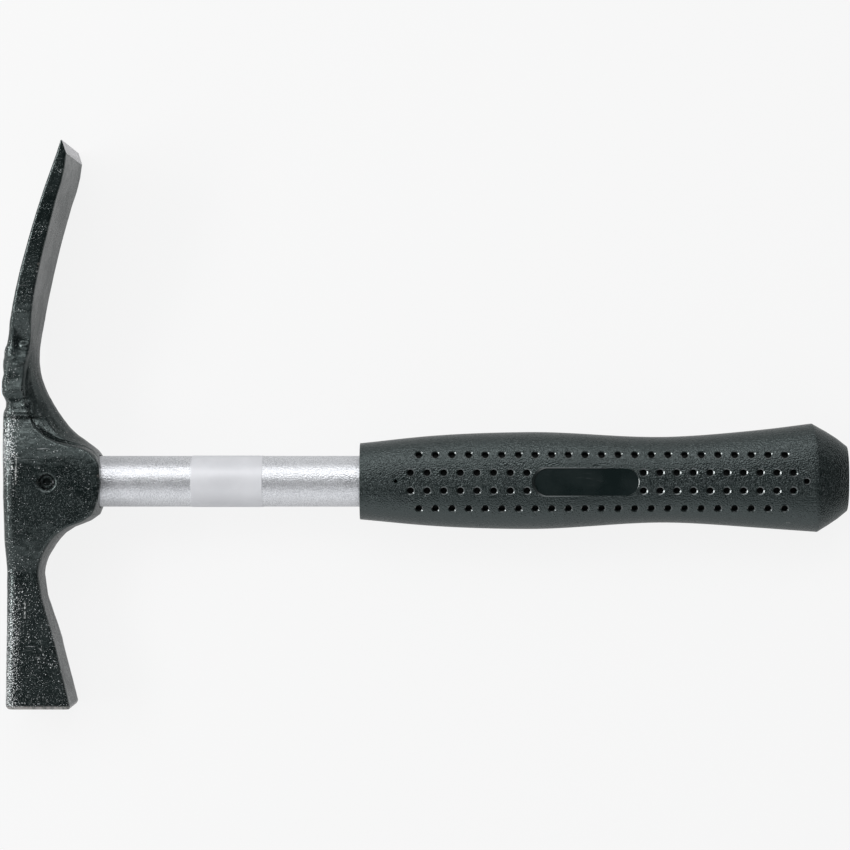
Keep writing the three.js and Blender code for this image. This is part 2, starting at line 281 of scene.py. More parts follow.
# The dark crease between the hub's side face and the saddle: (station, height) along it
CREASE = (
    (10.9, 50.0), (8.8, 42.0), (8.1, 35.0), (9.1, 28.6), (10.9, 23.4), (12.3, 20.6),
    (16.0, 17.6), (20.4, 15.3), (24.9, 14.1), (30.0, 13.1), (33.0, 11.6), (34.3, 9.6),
)
CREASE_HALF_WIDTH = 1.0
CREASE_HEIGHTS = (20, 27)
CREASE_DEPTHS = (1.3, 0.5)  # at and beyond those heights

SKIN_WAVES = (("slow", 16, 0.45), ("middle", 5, 0.2), ("small", 1.7, 0.09))  # (name, grain, strength)
SKIN_MARGIN = 0.03  # how far the head's outer and striking faces stay inside the plain head's
FORGING_VOXEL = 0.43
HEAD_TRIANGLES = 190_000
AT_HEIGHT = 0.1  # points this near to a height are taken to be at it


def from_line(places, line):
    """How far each point is from a line of (station, height) points, seen from the side."""
    nearest = np.full(len(places), np.inf)
    for first, last in zip(np.array(line[:-1]), np.array(line[1:])):
        step = last - first
        share = np.clip((places[:, :2] - first) @ step / (step @ step), 0, 1)
        nearest = np.minimum(nearest, np.hypot(*(places[:, :2] - first - np.outer(share, step)).T))
    return nearest


def rough_forging():
    """The head as it leaves the dies: a copy of the plain head, its tip and poll left long and thick."""
    head = bpy.data.objects.new("forged_head", frame["nodes"]["hammer_head"].data.copy())
    bpy.context.scene.collection.objects.link(head)
    head.data.transform(POSE.inverted())
    tidy_shell(head)
    places = points(head)
    tip = places[:, 1].max()
    poll = places[:, 1].min()
    edge = places[:, 1] > tip - AT_HEIGHT
    striking = places[:, 1] < poll + AT_HEIGHT
    heel_height = np.sort(np.unique(places[~edge, 1].round(2)))[-1]
    outer = places[edge, 0].min()
    inner_edge = places[edge, 0].max()
    heel = places[np.abs(places[:, 1] - heel_height) < AT_HEIGHT, 0].max()
    places[edge & (places[:, 0] > outer + 0.2)] += SPARE_THICKNESS
    places[edge] += SPARE_TIP
    places[striking] += SPARE_POLL
    set_points(head, places)
    bevel = ((inner_edge, tip), (heel, heel_height))
    return head, tip, poll, bevel


def drop_hub_sides(places):
    """Lets the hub's side faces fall away towards the blade."""
    fall = np.clip((places[:, 1] - HUB_FALL_FROM) / (HUB_FALL_TO - HUB_FALL_FROM), 0, 1) ** 1.4 * HUB_FALL
    on_hub = (places[:, 1] < HUB_FALL_TO) & (np.abs(places[:, 2]) > HUB_HALF_WIDTH - HUB_SIDE_BAND)
    depth = np.clip((np.abs(places[:, 2]) - HUB_HALF_WIDTH + HUB_SIDE_BAND) / 2, 0, 1)
    places[:, 2] -= np.sign(places[:, 2]) * np.where(on_hub, fall * depth, 0)


def press_lumps(places):
    """The dies' marks at the blade's root, on its sides and its outer face, shallower on the far side."""
    for station, height, along, up, rise in FORGING_LUMPS:
        for side, share, lower in ((1, 1.0, 0.0), (-1, 0.8, 2.5)):
            middle = places[(np.abs(places[:, 1] - height) < 1) & (places[:, 2] * side > 0)]
            face = np.abs(middle[:, 2]).max()
            spot = (station, height - lower, face * side)
            press(places, spot, (along, up, 5.0), (0, 0, rise * side * share))
    for height, up, move in OUTER_BULGES:
        press(places, (0.5, height, 9.0), (4.5, up, 9.0), (move, 0, 0))
        press(places, (0.5, height + 3, -8.0), (4.5, up, 8.0), (move * 0.7, 0, 0))


def press_crease(places):
    """The dark crease, on both sides."""
    groove = np.clip(1 - (from_line(places, CREASE) / CREASE_HALF_WIDTH) ** 2, 0, 1) ** 2
    on_side = np.clip((np.abs(places[:, 2]) - 7) / 2, 0, 1)
    depth = np.interp(places[:, 1], CREASE_HEIGHTS, CREASE_DEPTHS)
    places[:, 2] -= np.sign(places[:, 2]) * groove * on_side * depth


def free_skin(places):
    """How much each point may wander, from 0 to 1: not by the eye or the pin's hole, and less at the ends."""
    from_axis = np.hypot(places[:, 1], places[:, 2])
    from_pin = np.hypot(places[:, 0] - PIN_STATION, places[:, 1])
    off_eye = np.clip((from_axis - BORE_RADIUS - 0.3) / 1.5, 0, 1)
    off_pin = np.clip((from_pin - PIN_HOLE_RADIUS - 0.2) / 2, 0, 1)
    return off_eye * off_pin * np.interp(places[:, 1], (-80, -60, 62, 72), (0.6, 1, 1, 0.3))


def forge(head):
    """Lumps, dents and the skin's slow waves."""
    plain_box = points(head).min(axis=0) + (SKIN_MARGIN, 0, 0), points(head).max(axis=0)
    apply_modifier(head, "REMESH", mode="VOXEL", voxel_size=FORGING_VOXEL * MM)
    places = points(head)
    drop_hub_sides(places)
    press_lumps(places)
    press_crease(places)
    set_points(head, places)
    skin = head.vertex_groups.new(name="skin")
    for index, weight in enumerate(free_skin(places)):
        skin.add([index], weight, "REPLACE")
    for name, grain, strength in SKIN_WAVES:
        texture = bpy.data.textures.new(name, "CLOUDS")
        texture.noise_scale = grain * MM
        texture.noise_depth = 2
        apply_modifier(head, "DISPLACE", texture=texture, texture_coords="LOCAL", vertex_group="skin",
                       strength=strength * MM, mid_level=0.5)
    apply_modifier(head, "SMOOTH", factor=0.4, iterations=1)
    triangles = 2 * len(head.data.polygons)
    apply_modifier(head, "DECIMATE", ratio=min(1, HEAD_TRIANGLES / triangles))
    set_points(head, np.clip(points(head), *plain_box))


def slice_off(piece, point, normal):
    """Cuts the piece at a plane and closes it there."""
    edit(piece)
    bpy.ops.mesh.bisect(plane_co=Vector(point) * MM, plane_no=normal, use_fill=True, clear_outer=True,
                        threshold=1e-8)
    leave_edit()


def on_plane(face, point, normal):
    return abs((face.center - Vector(point) * MM).dot(normal)) < 0.01 * MM and face.normal.dot(normal) > 0.99


def hammer_head(lacquer, ground):
    head, tip, poll, bevel = rough_forging()
    forge(head)
    (edge_x, edge_y), (heel_x, heel_y) = bevel
    bevel_normal = Vector((edge_y - heel_y, heel_x - edge_x, 0)).normalized()
    slice_off(head, (0, tip, 0), (0, 1, 0))
    slice_off(head, (edge_x, edge_y, 0), bevel_normal)
    slice_off(head, (0, poll + SKIN_MARGIN, 0), (0, -1, 0))
    smooth(head, 40)
    bare_planes = ((edge_x, edge_y, 0), bevel_normal), ((0, tip, 0), Vector((0, 1, 0)))
    bare = [any(on_plane(face, *plane) for plane in bare_planes) for face in head.data.polygons]
    finish_piece(head, "forged_head", "hammer_head", lacquer, ground)
    for face, is_bare in zip(head.data.polygons, bare):
        face.material_index = int(is_bare)


# ---------------------------------------------------------------- tube, pin and plugs

def handle_tube(material):
    inner = TUBE_RADIUS - TUBE_WALL
    lip = 0.3
    tube = turned("handle_tube", (
        (TUBE_START, inner + lip), (TUBE_START, TUBE_RADIUS - lip),
        (TUBE_START + lip, TUBE_RADIUS), (TUBE_END - lip, TUBE_RADIUS),
        (TUBE_END, TUBE_RADIUS - lip), (TUBE_END, inner + lip),
        (TUBE_END - lip, inner), (TUBE_START + lip, inner),
    ), steps=128)
    smooth(tube)
    finish_piece(tube, "tube_steel", "shaft_tube", material)


def spring_pin(material):
    """A slotted pin: a split ring drawn out across the head, its bore choked with lacquer."""
    bpy.ops.mesh.primitive_circle_add(vertices=40)
    pin = bpy.context.object
    pin.name = "spring_pin"
    count = 20
    gap = math.asin(PIN_SLOT / 2 / (PIN_RADIUS - PIN_WALL))
    turns = [gap + (2 * math.pi - 2 * gap) * i / (count - 1) for i in range(count)]
    ring = [(PIN_RADIUS, turn) for turn in turns]
    ring += [(PIN_RADIUS - PIN_WALL, turn) for turn in reversed(turns)]
    for vertex, (radius, turn) in zip(pin.data.vertices, ring):
        station = PIN_STATION + radius * math.cos(turn)
        vertex.co = Vector((station, radius * math.sin(turn), -PIN_HALF_LENGTH)) * MM
    edit(pin)
    bpy.ops.mesh.edge_face_add()
    bpy.ops.mesh.extrude_region_move(TRANSFORM_OT_translate={"value": (0, 0, 2 * PIN_HALF_LENGTH * MM)})
    leave_edit()
    tidy_shell(pin)
    apply_modifier(pin, "BEVEL", width=0.15 * MM, segments=2, limit_method="ANGLE",
                   angle_limit=math.radians(50))
    bpy.ops.mesh.primitive_cylinder_add(vertices=32, radius=(PIN_RADIUS - PIN_WALL + 0.1) * MM,
                                        depth=2 * (PIN_HALF_LENGTH - PIN_CHOKE) * MM,
                                        location=(PIN_STATION * MM, 0, 0))
    choke = bpy.context.object
    bpy.ops.object.transform_apply()
    apply_modifier(pin, "BOOLEAN", operation="UNION", object=choke, solver="MANIFOLD")
    bpy.data.objects.remove(choke)
    smooth(pin)
    finish_piece(pin, "pin_steel", "cross_pin", material)


def tube_plug(material):
    """The plug at the eye: a turned slug whose end is dished by the blows that set it."""
    end = PLUG_START + PLUG_LENGTH
    plug = turned("tube_plug", (
        (PLUG_START + 0.9, 0.02), (PLUG_START + 0.7, 2.2), (PLUG_START + 0.25, 4.2),
        (PLUG_START, 6.4), (PLUG_START, PLUG_RADIUS - 0.5), (PLUG_START + 0.4, PLUG_RADIUS),
        (end - 0.5, PLUG_RADIUS), (end, PLUG_RADIUS - 0.5), (end, 0.02),
    ))
    smooth(plug)
    finish_piece(plug, "pin_steel", "eye_plug", material)


# ---------------------------------------------------------------- grip

grip_top = smooth_curve(GRIP_TOP)
grip_bottom = smooth_curve(GRIP_BOTTOM)
grip_side = smooth_curve(GRIP_SIDE)


def grip_share(station):
    """How far a station is from the grip's front to its rim, from 0 to 1."""
    return (station - GRIP_FRONT) / (GRIP_RIM - GRIP_FRONT)


def grip_section(share):
    """(station, reach up, reach down, reach to the side) at a share of the way to the rim."""
    station = GRIP_FRONT + share * (GRIP_RIM - GRIP_FRONT)
    return station, grip_top(share), grip_bottom(share), grip_side(share)


def grip_sections():
    """Each section, from the front to the end: close together at the front's edge, and domed past the rim."""
    shares = [0, 0.002, 0.01] + list(np.linspace(0.025, 0.985, 54)) + [1]
    sections = [grip_section(share) for share in shares]
    rim = sections[-1]
    for part, bulge in ((0.13, 0.1), (0.4, 0.38), (0.7, 0.45), (0.97, 0.04), (1.0, 0.0)):
        reaches = [a + (b - a) * part + bulge for a, b in zip(rim[1:], GRIP_END)]
        sections.append((rim[0] + (LENGTH - rim[0]) * part, *reaches))
    return sections


def grip_blank():
    """The grip's outer skin: an oval drawn out section by section, then subdivided."""
    around = 60
    bpy.ops.mesh.primitive_circle_add(vertices=around, fill_type="NGON")
    grip = bpy.context.object
    grip.name = "soft_grip"
    sections = grip_sections()
    station, top, bottom, side = sections[0]
    power = 2 / GRIP_SQUARENESS
    for index, vertex in enumerate(grip.data.vertices):
        turn = 2 * math.pi * index / around
        up = math.copysign(abs(math.sin(turn)) ** power, math.sin(turn))
        across = math.copysign(abs(math.cos(turn)) ** power, math.cos(turn))
        vertex.co = Vector((station, (top - bottom) / 2 + (top + bottom) / 2 * up, side * across)) * MM
    edit(grip)
    bpy.ops.transform.edge_crease(value=1)
    for before, after in zip(sections, sections[1:]):
        middle = (after[1] - after[2]) / 2
        shift = (after[0] - before[0], middle - (before[1] - before[2]) / 2, 0)
        bpy.ops.mesh.extrude_region_move(TRANSFORM_OT_translate={"value": [step * MM for step in shift]})
        stretch = (1, (after[1] + after[2]) / (before[1] + before[2]), after[3] / before[3])
        bpy.ops.transform.resize(value=stretch, center_override=(after[0] * MM, middle * MM, 0))
    leave_edit()
    places = points(grip)
    lean = math.tan(math.radians(GRIP_RIM_LEAN))
    near_rim = np.interp(places[:, 0], (GRIP_RIM - 14, GRIP_RIM, LENGTH), (0, 1, 0))
    places[:, 0] -= lean * places[:, 1] * near_rim
    set_points(grip, places)
    tidy_shell(grip)
    apply_modifier(grip, "SUBSURF", levels=1, render_levels=1)
    return grip


def oval_cutter(side):
    """A stadium with a chamfered mouth, for the oval field."""
    floor = grip_side(grip_share(OVAL_STATION)) - OVAL_DEPTH
    radius = OVAL_HEIGHT / 2
    bpy.ops.mesh.primitive_circle_add(vertices=48, radius=radius * MM, fill_type="NGON")
    cutter = bpy.context.object
    edit(cutter)
    for rise, wider in OVAL_MOUTH:
        bpy.ops.mesh.extrude_region_move(TRANSFORM_OT_translate={"value": (0, 0, rise * MM)})
        bpy.ops.transform.resize(value=(wider, wider, 1), center_override=(0, 0, 0))
    leave_edit()
    places = points(cutter)
    places[:, 0] += np.sign(places[:, 0].round(3)) * (OVAL_LENGTH / 2 - radius) + OVAL_STATION
    places[:, 2] += floor
    if side < 0:
        places *= (1, -1, -1)
    set_points(cutter, places)
    return cutter


def dimple_cutter():
    """A small turned cutter with a rounded mouth, its axis +Z and the skin at its origin."""
    first_radius, first_height = DIMPLE_OUTLINE[0]
    bpy.ops.mesh.primitive_circle_add(vertices=14, radius=first_radius * MM, fill_type="NGON",
                                      location=(0, 0, first_height * MM))
    cutter = bpy.context.object
    edit(cutter)
    for (radius, height), (next_radius, next_height) in zip(DIMPLE_OUTLINE, DIMPLE_OUTLINE[1:]):
        rise = (0, 0, (next_height - height) * MM)
        bpy.ops.mesh.extrude_region_move(TRANSFORM_OT_translate={"value": rise})
        wider = next_radius / radius
        bpy.ops.transform.resize(value=(wider, wider, 1), center_override=(0, 0, next_height * MM))
    leave_edit()
    bpy.ops.object.transform_apply()
    return cutter


def dimple_places():
    """(station, height) of each dimple: the inner rows are half a pitch off and broken by the oval field."""
    places = []
    for row, height in enumerate(DIMPLE_ROWS):
        inner = row in (1, 2)
        for i in range(DIMPLE_COUNT + inner):
            station = DIMPLE_FIRST + (i - 0.5 * inner) * DIMPLE_PITCH
            if inner and abs(station - OVAL_STATION) < OVAL_LENGTH / 2 + 0.5:
                continue
            places.append((station, height))
    return places


def dimple_cutters(grip):
    """A cutter for each dimple and end mark, on both sides, square to the skin where it enters."""
    marks = [(station, height, 1.0) for station, height in dimple_places()]
    marks += END_MARKS
    master = dimple_cutter()
    cutters = []
    for side in (1, -1):
        for station, height, size in marks:
            outside = Vector((station, height, 30.0 * side)) * MM
            _, place, normal, _ = grip.ray_cast(outside, Vector((0, 0, -side)))
            cutter = master.copy()
            cutter.data = master.data.copy()
            bpy.context.scene.collection.objects.link(cutter)
            turn = normal.to_track_quat("Z", "Y").to_matrix().to_4x4()
            cutter.data.transform(Matrix.Translation(place) @ turn @ Matrix.Diagonal((size, size, 1, 1)))
            cutters.append(cutter)
    bpy.data.objects.remove(master)
    return cutters


def bore_cutter():
    """The tube's seat in the grip, from in front of the grip to past the tube's end."""
    start = GRIP_FRONT - 5
    bpy.ops.mesh.primitive_cylinder_add(vertices=128, radius=(TUBE_RADIUS + 0.06) * MM,
                                        depth=(GRIP_BORE_END - start) * MM,
                                        location=((GRIP_BORE_END + start) / 2 * MM, 0, 0),
                                        rotation=(0, math.pi / 2, 0))
    bpy.ops.object.transform_apply()
    return bpy.context.object


def joined(pieces):
    """Joins the pieces into the first of them."""
    only(pieces[0])
    for piece in pieces:
        piece.select_set(True)
    bpy.ops.object.join()
    return pieces[0]


def by_oval(place, past_end, past_side):
    """Whether a place, in millimetres, is on the oval field or this near to it."""
    along = abs(place.x - OVAL_STATION) < OVAL_LENGTH / 2 + past_end
    return along and abs(place.y) < OVAL_HEIGHT / 2 + past_side


def dimple_level(place):
    """How near the grip's skin a place, in millimetres, is: less than 1 in a dimple's lip or wall, else 1
    or about 1."""
    share = grip_share(place.x)
    past_rows = share > ROWS_END and abs(place.y) > MIDDLE_LINE_REACH
    dimpled = DIMPLED_FROM <= share <= DIMPLED_TO and abs(place.z) >= SIDE_REACH
    if past_rows or not dimpled or by_oval(place, 1.0, 1.5):
        return 1
    top, bottom = grip_top(share), grip_bottom(share)
    up = abs(place.y - (top - bottom) / 2) / ((top + bottom) / 2)
    return up ** GRIP_SQUARENESS + abs(place.z / grip_side(share)) ** GRIP_SQUARENESS


# The grip's materials, in the order in which soft_grip takes them
RUBBER, POLISHED, LIP, SHADED_WALL = range(4)


def grip_finish(face):
    """Which of the grip's materials a face has."""
    place = face.center / MM
    level = dimple_level(place)
    if level < DIMPLE_LIP:
        # Faces deep in a dimple take the wall's painted shade.
        return LIP if level > DIMPLE_WALL else SHADED_WALL
    facing = abs(face.normal.z)
    if by_oval(place, 1.5, 1.2) and 0.5 < facing < 0.93 and abs(place.z) > SIDE_REACH:
        return LIP
    oval_floor = grip_side(grip_share(OVAL_STATION)) - OVAL_DEPTH
    if by_oval(place, 1.0, 0.4) and facing > 0.999 and abs(abs(place.z) - oval_floor) < 0.15:
        return POLISHED
    return RUBBER


def soft_grip(rubber, polished, lip, wall):
    """The moulded grip, with the tube's seat, the oval fields and the dimples cut out."""
    grip = grip_blank()
    cutter = joined([oval_cutter(1), oval_cutter(-1), *dimple_cutters(grip), bore_cutter()])
    tidy_shell(cutter)
    apply_modifier(grip, "BOOLEAN", operation="DIFFERENCE", object=cutter, solver="MANIFOLD")
    bpy.data.objects.remove(cutter)
    smooth(grip, 32)
    finishes = [grip_finish(face) for face in grip.data.polygons]
    finish_piece(grip, "grip_soft", "grip_sleeve", rubber, polished, lip, wall)
    for face, finish in zip(grip.data.polygons, finishes):
        face.material_index = finish


def film_label(material):
    """A blank film label, wrapped on the tube."""
    inner = TUBE_RADIUS + 0.01
    outer = inner + LABEL_THICKNESS
    end = LABEL_START + LABEL_WIDTH
    label = turned("film_label", (
        (LABEL_START, inner), (LABEL_START, outer - 0.04), (LABEL_START + 0.05, outer),
        (end - 0.05, outer), (end, outer - 0.04), (end, inner),
    ), steps=96, degrees=LABEL_WRAP)
    smooth(label)
    finish_piece(label, "label_film", "handle_label", material)


# ---------------------------------------------------------------- node helpers

def put(tree, kind, inputs=None, **settings):
    """Adds a node, with its settings, and inputs that are values or other nodes' outputs."""
    node = tree.nodes.new(kind)
    for name, value in settings.items():
        setattr(node, name, value)
    for name, value in (inputs or {}).items():
        if isinstance(value, bpy.types.NodeSocket):
            tree.links.new(value, node.inputs[name])
        else:
            node.inputs[name].default_value = value
    return node


def maths(tree, operation, first, second=0.0):
    return put(tree, "ShaderNodeMath", {0: first, 1: second}, operation=operation).outputs[0]


def ramp(tree, value, low, high, to_low=0.0, to_high=1.0):
    """Maps value from low..high to to_low..to_high, smoothly and clamped."""
    inputs = {"Value": value, "From Min": low, "From Max": high, "To Min": to_low, "To Max": to_high}
    return put(tree, "ShaderNodeMapRange", inputs, interpolation_type="SMOOTHSTEP").outputs["Result"]


def mix_colour(tree, share, first, second):
    inputs = {0: share, 6: first, 7: second}
    return put(tree, "ShaderNodeMix", inputs, data_type="RGBA").outputs[2]


def mix_value(tree, share, first, second):
    return put(tree, "ShaderNodeMix", {0: share, 2: first, 3: second}, data_type="FLOAT").outputs[0]


def noise(tree, place, scale, detail=2.0, roughness=0.5):
    inputs = {"Vector": place, "Scale": scale, "Detail": detail, "Roughness": roughness}
    return put(tree, "ShaderNodeTexNoise", inputs).outputs["Fac"]


def group(name, inputs, outputs):
    """An empty node group with named inputs, which have default values, and outputs."""
    tree = bpy.data.node_groups.new(name, "ShaderNodeTree")
    for label, default in inputs.items():
        socket = tree.interface.new_socket(name=label, in_out="INPUT", socket_type="NodeSocketFloat")
        socket.default_value = default
    for label in outputs:
        tree.interface.new_socket(name=label, in_out="OUTPUT", socket_type="NodeSocketFloat")
    return tree, tree.nodes.new("NodeGroupInput").outputs, tree.nodes.new("NodeGroupOutput").inputs


def use(tree, shared, inputs):
    """Places a node group in a material, with values of its own."""
    return put(tree, "ShaderNodeGroup", inputs, node_tree=shared).outputs


# ---------------------------------------------------------------- shared effects

def grain_group():
    """Fine grain: a height for bump, and specks where it peaks."""
    tree, given, out = group("fine_grain", {"Scale": 900.0, "Speck": 0.62}, ("Height", "Specks"))
    place = put(tree, "ShaderNodeTexCoord").outputs["Object"]
    fine = noise(tree, place, given["Scale"], 3.0, 0.6)
    coarse = noise(tree, place, maths(tree, "MULTIPLY", given["Scale"], 0.37), 2.0, 0.5)
    both = maths(tree, "ADD", maths(tree, "MULTIPLY", fine, 0.6), maths(tree, "MULTIPLY", coarse, 0.4))
    tree.links.new(both, out["Height"])
    peak = maths(tree, "ADD", given["Speck"], 0.04)
    tree.links.new(ramp(tree, both, given["Speck"], peak), out["Specks"])
    return tree


def grit_group():
    """The finest grain, from 0 to 1: painted glints on the lacquer, zinc spangle or a sandblasted mould."""
    tree, given, out = group("grit", {"Scale": 2400.0}, ("Value",))
    place = put(tree, "ShaderNodeTexCoord").outputs["Object"]
    tree.links.new(noise(tree, place, given["Scale"], 0.0), out["Value"])
    return tree


def clouding_group():
    """Slow, uneven patches, from 0 to 1."""
    tree, given, out = group("clouding", {"Scale": 60.0, "Low": 0.35, "High": 0.65}, ("Value",))
    place = put(tree, "ShaderNodeTexCoord").outputs["Object"]
    slow = noise(tree, place, given["Scale"], 4.0, 0.55)
    tree.links.new(ramp(tree, slow, given["Low"], given["High"]), out["Value"])
    return tree


def wear_group():
    """Wear on edges that stand proud, broken up by noise."""
    defaults = {"From": 0.53, "To": 0.6, "Breakup": 350.0, "Amount": 1.0}
    tree, given, out = group("edge_wear", defaults, ("Mask",))
    place = put(tree, "ShaderNodeTexCoord").outputs["Object"]
    proud = put(tree, "ShaderNodeNewGeometry").outputs["Pointiness"]
    edge = ramp(tree, proud, given["From"], given["To"])
    broken = ramp(tree, noise(tree, place, given["Breakup"], 4.0, 0.6), 0.4, 0.62)
    worn = maths(tree, "MULTIPLY", edge, broken)
    tree.links.new(maths(tree, "MULTIPLY", worn, given["Amount"]), out["Mask"])
    return tree


def scuff_group():
    """Thin, faint scratches that run one way, from 0 to 1."""
    defaults = {"Scale": 120.0, "Turn": 0.0, "Stretch": 14.0, "Low": 0.66}
    tree, given, out = group("scuffs", defaults, ("Mask",))
    place = put(tree, "ShaderNodeTexCoord").outputs["Object"]
    turn = put(tree, "ShaderNodeCombineXYZ", {"Z": given["Turn"]}).outputs[0]
    sizes = {"X": 1.0, "Y": given["Stretch"], "Z": given["Stretch"]}
    size = put(tree, "ShaderNodeCombineXYZ", sizes).outputs[0]
    mapping = {"Vector": place, "Rotation": turn, "Scale": size}
    lines = noise(tree, put(tree, "ShaderNodeMapping", mapping).outputs[0], given["Scale"], 2.0, 0.5)
    patches = ramp(tree, noise(tree, place, 70.0, 1.0, 0.5), 0.5, 0.7)
    high = maths(tree, "ADD", given["Low"], 0.05)
    scratches = ramp(tree, lines, given["Low"], high)
    tree.links.new(maths(tree, "MULTIPLY", scratches, patches), out["Mask"])
    return tree


GRAIN = grain_group()
GRIT = grit_group()
CLOUDING = clouding_group()
WEAR = wear_group()
SCUFFS = scuff_group()


# ---------------------------------------------------------------- materials

# Rubbed marks on the head's sides, in millimetres: (station, from height, to height)
RUB_MARKS = ((5.4, -1.5, 10.5), (8.1, -52.5, -44.0))
RUB_HALF_WIDTH = 0.45


def material(name):
    """A new material: its tree and its Principled shader."""
    made = bpy.data.materials.new(name)
    made.use_nodes = True
    return made, made.node_tree, made.node_tree.nodes["Principled BSDF"]


def feed(tree, shader, **inputs):
    """Sets or links the shader's inputs, an underscore standing for each space in a name."""
    for name, value in inputs.items():
        socket = shader.inputs[name.replace("_", " ")]
        if isinstance(value, bpy.types.NodeSocket):
            tree.links.new(value, socket)
        else:
            socket.default_value = value


def bump(tree, height, distance, under=None):
    """The normal of a relief this many millimetres high, over the relief under it."""
    inputs = {"Height": height, "Distance": distance * MM, "Strength": 1.0}
    if under is not None:
        inputs["Normal"] = under
    return put(tree, "ShaderNodeBump", inputs).outputs["Normal"]


def own_place(tree):
    """The place in the hammer's own frame, in metres: along the handle, up the head and across."""
    place = put(tree, "ShaderNodeTexCoord").outputs["Object"]
    inputs = {"Vector": place, "Location": POSE.translation, "Rotation": POSE.to_euler()}
    laid_back = put(tree, "ShaderNodeMapping", inputs, vector_type="TEXTURE").outputs[0]
    return put(tree, "ShaderNodeSeparateXYZ", {0: laid_back}).outputs


def rub_mark(tree, ways, station, low, high):
    """A short, narrow rub up the head's side, between two heights."""
    beside = maths(tree, "ABSOLUTE", maths(tree, "SUBTRACT", ways["X"], station * MM))
    middle = maths(tree, "SUBTRACT", ways["Y"], (low + high) / 2 * MM)
    narrow = ramp(tree, beside, RUB_HALF_WIDTH * MM, 0.0)
    reach = ramp(tree, maths(tree, "ABSOLUTE", middle), (high - low) / 2 * MM, (high - low) / 3 * MM)
    return maths(tree, "MULTIPLY", narrow, reach)


def by_outer_face(tree, ways, fade, full):
    """A mask that grows from one station to another, and is a quarter as strong near the middle plane."""
    at_sides = ramp(tree, maths(tree, "ABSOLUTE", ways["Z"]), 7.0 * MM, 11.0 * MM, 0.25, 1.0)
    return maths(tree, "MULTIPLY", ramp(tree, ways["X"], fade * MM, full * MM), at_sides)


def painted_edge_glints(tree, ways):
    """Painted glints, white specks standing in for the lacquer's sparkle: thick along the outer edge of the
    upper hub and the poll, thinner on the poll, else sparse.
    """
    on_poll = ramp(tree, ways["Y"], -22 * MM, -48 * MM, 0.25, 1.0)
    below_blade = ramp(tree, ways["Y"], 27 * MM, 23 * MM, 0.3, 1.0)
    over_eye = ramp(tree, ways["Y"], -8 * MM, 12 * MM, 0.25, 1.0)
    thick = maths(tree, "MULTIPLY", below_blade, maths(tree, "MAXIMUM", on_poll, over_eye))
    thick = maths(tree, "MULTIPLY", by_outer_face(tree, ways, 9.0, 1.5), thick)
    start = mix_value(tree, thick, ramp(tree, on_poll, 0.25, 1.0, 0.835, 0.76), 0.55)
    grit = use(tree, GRIT, {"Scale": 2800.0})["Value"]
    return ramp(tree, maths(tree, "SUBTRACT", grit, start), 0.0, 0.025)


def lacquer(name):
    """Black lacquer over forged steel: peel, beads, painted glints as white specks (thickest along the outer
    edges), scuffs, rubbed marks and a worn striking face.
    """
    made, tree, shader = material(name)
    place = put(tree, "ShaderNodeTexCoord").outputs["Object"]
    ways = own_place(tree)
    cloud = use(tree, CLOUDING, {"Scale": 90.0})["Value"]
    patches = use(tree, CLOUDING, {"Scale": 150.0, "Low": 0.42, "High": 0.58})["Value"]
    grain = use(tree, GRAIN, {"Scale": 2600.0, "Speck": 0.618})
    wear = use(tree, WEAR, {"From": 0.54, "To": 0.62, "Breakup": 420.0, "Amount": 0.8})["Mask"]
    scuffs = use(tree, SCUFFS, {"Scale": 90.0, "Turn": 1.5, "Low": 0.69})["Mask"]
    broken = ramp(tree, noise(tree, place, 1400.0, 2.0), 0.42, 0.56)

    black = mix_colour(tree, cloud, (0.002, 0.005, 0.005, 1), (0.006, 0.010, 0.010, 1))
    # Painted glints: white specks, clustered in patches, stand in for the sparkle of the lacquer's rough
    # skin.
    painted_glints = maths(tree, "MULTIPLY", grain["Specks"], ramp(tree, patches, 0.0, 1.0, 0.06, 0.9))
    glinted = mix_colour(tree, painted_glints, black, (0.88, 0.9, 0.9, 1))
    # More painted glints, thick along the outer edges of the upper hub and the poll.
    edge_glinted = mix_colour(tree, painted_edge_glints(tree, ways), glinted, (0.88, 0.9, 0.9, 1))
    scuffed = mix_colour(tree, scuffs, edge_glinted, (0.28, 0.29, 0.29, 1))
    rubs = maths(tree, "MAXIMUM", *(rub_mark(tree, ways, *mark) for mark in RUB_MARKS))
    rubbed = mix_colour(tree, maths(tree, "MULTIPLY", rubs, broken), scuffed, (0.6, 0.61, 0.6, 1))
    bare = ramp(tree, noise(tree, place, 420.0, 5.0, 0.65), 0.32, 0.58, 0.15, 1.0)
    striking = maths(tree, "MULTIPLY", ramp(tree, ways["Y"], -82.6 * MM, -83.8 * MM), bare)
    struck = mix_colour(tree, striking, rubbed, (0.36, 0.335, 0.32, 1))
    steel = mix_colour(tree, wear, struck, (0.16, 0.145, 0.135, 1))

    outer_edge = by_outer_face(tree, ways, 4.5, 0.5)
    peel = noise(tree, place, 480.0, 2.0, 0.5)
    beads = ramp(tree, noise(tree, place, 1900.0, 1.0, 0.5), 0.56, 0.72)
    low_down = ramp(tree, ways["Y"], 75 * MM, 50 * MM, 0.25, 1.0)
    thick = maths(tree, "MULTIPLY", ramp(tree, patches, 0.0, 1.0, 0.45, 1.0), low_down)
    beaded = maths(tree, "MULTIPLY", beads, maths(tree, "ADD", thick, outer_edge))
    normal = bump(tree, beaded, 0.26, under=bump(tree, peel, 0.13))
    over_hub = ramp(tree, ways["Y"], 22 * MM, 27 * MM)
    blade_root = maths(tree, "MULTIPLY", over_hub, ramp(tree, ways["Y"], 78 * MM, 60 * MM))
    matt_edge = maths(tree, "MULTIPLY", outer_edge, 0.05)
    matt = maths(tree, "MAXIMUM", matt_edge, maths(tree, "MULTIPLY", blade_root, 0.4))
    rough = maths(tree, "ADD", mix_value(tree, cloud, 0.18, 0.27), maths(tree, "MULTIPLY", matt, 0.15))
    feed(tree, shader, Base_Color=steel, Roughness=rough, Normal=normal, Specular_IOR_Level=0.9,
         Specular_Tint=(0.86, 1, 0.98, 1))
    return made


